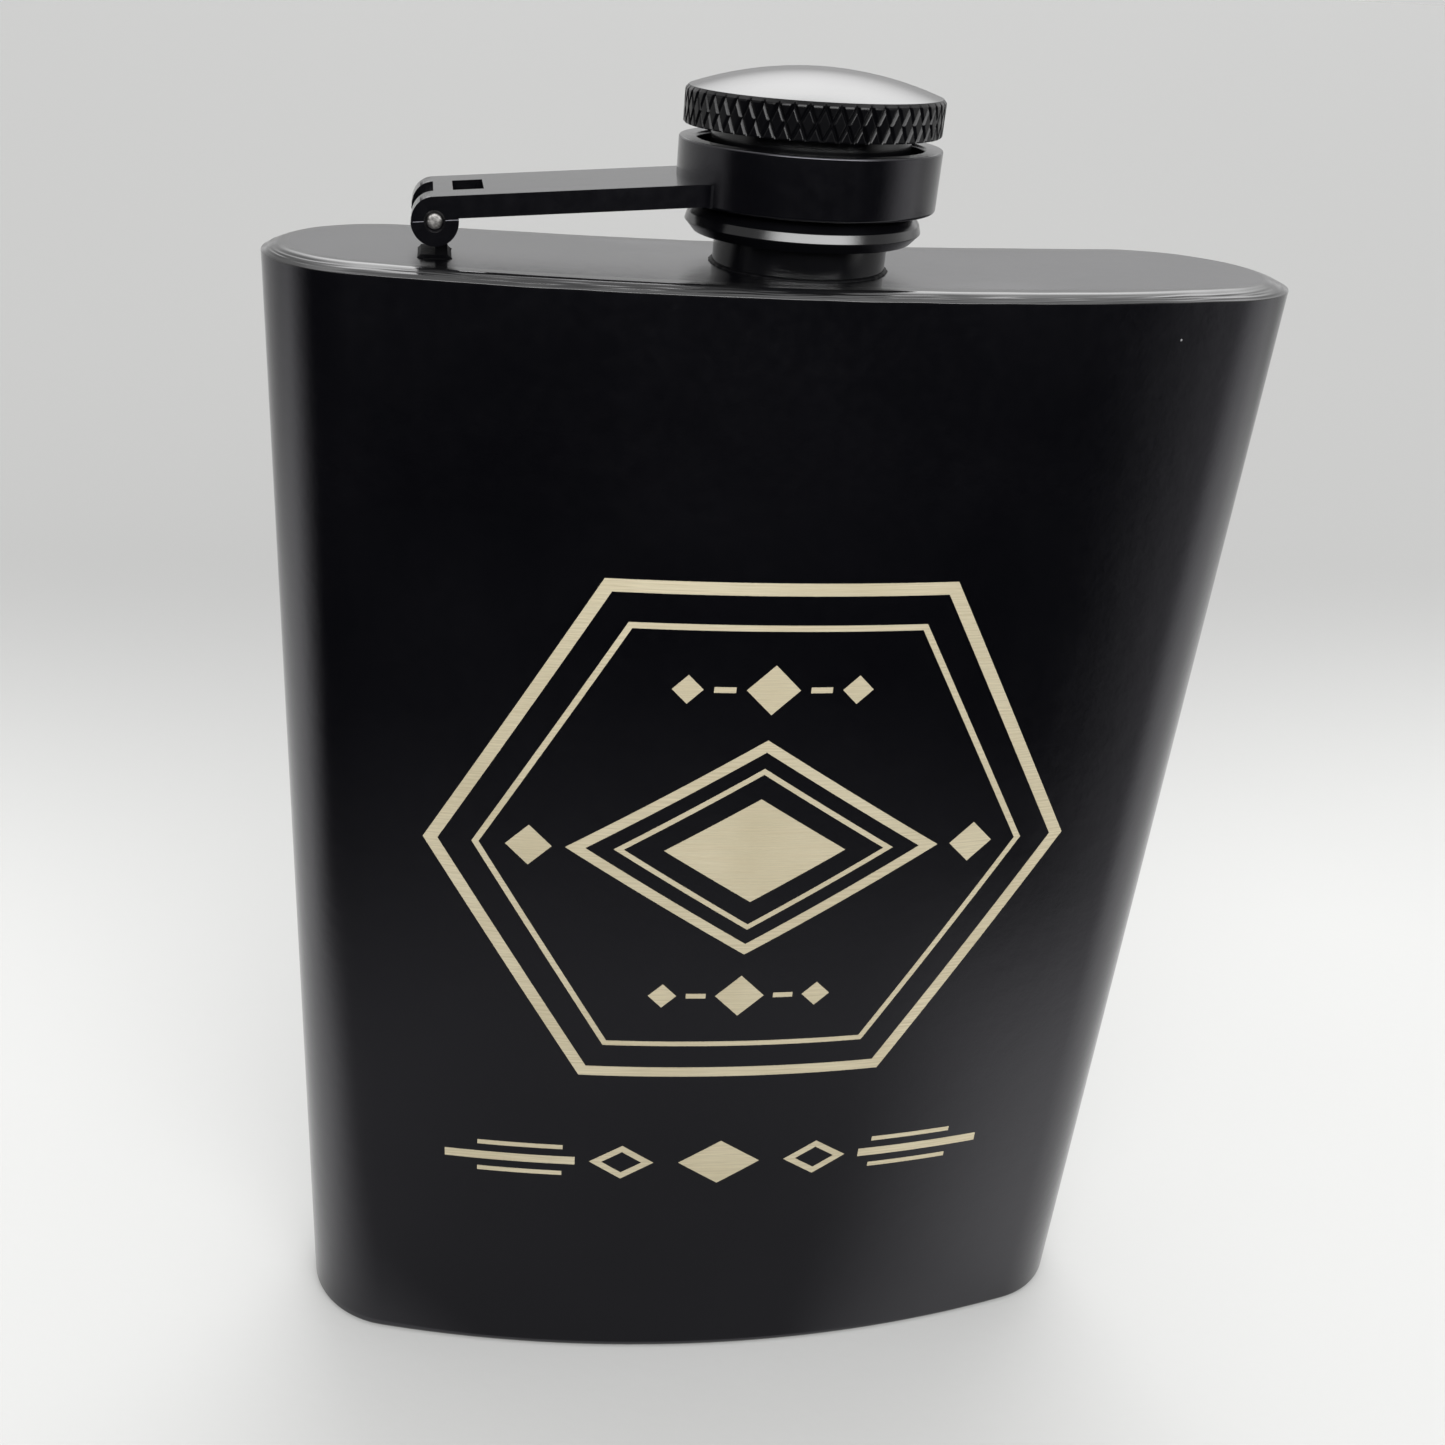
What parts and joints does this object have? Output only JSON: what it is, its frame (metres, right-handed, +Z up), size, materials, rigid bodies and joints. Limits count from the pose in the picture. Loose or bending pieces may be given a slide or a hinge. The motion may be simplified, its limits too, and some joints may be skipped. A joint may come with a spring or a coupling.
{
  "type": "hip flask",
  "caption": "Kidney-shaped steel hip flask with a domed, knurled screw cap held captive in the collar of a hinged swing arm.",
  "frame": {"origin": "centre of the base, under the middle of the flask's outer box", "axes": "+Z up, +X from the hinge towards the cap, -Y out of the convex front and +Y out of the hollow back"},
  "size_m": [0.095, 0.027, 0.1411],
  "materials": {
    "powder_coat": "matte black powder coat",
    "neck_coat": "satin black, bare at the mouth",
    "arm_coat": "satin black on a casting",
    "cap_coat": "satin black, turned and knurled",
    "bare_steel": "bare stainless",
    "silicone": "translucent white silicone"
  },
  "bodies": {
    "root": {"body_tube": "powder_coat", "back_seam_weld": "powder_coat", "shoulder_plate": "powder_coat", "shoulder_weld": "powder_coat", "base_plate": "powder_coat", "base_weld": "powder_coat", "filler_neck": "neck_coat", "neck_weld": "powder_coat", "hinge_lug": "powder_coat", "lug_weld": "powder_coat"},
    "arm": {"swing_arm": "arm_coat", "hinge_pin": "bare_steel"},
    "washer": {"cap_gasket": "silicone"},
    "cap": {"cap_sleeve": "cap_coat", "cap_head": "cap_coat"}
  },
  "joints": [
    {"name": "arm_hinge", "type": "hinge", "parent": "root", "child": "arm", "pos_m": [-0.03225, -0.00189, 0.1285], "axis": [0, -1, 0], "range_deg": [0, 175]},
    {"name": "cap_float", "type": "slide", "parent": "arm", "child": "washer", "axis": [0, 0, 1], "range_m": [0, 0.00045]},
    {"name": "cap_spin", "type": "hinge", "parent": "washer", "child": "cap", "pos_m": [0, -0.00189, 0.13], "axis": [0, 0, 1], "continuous": true}
  ]
}
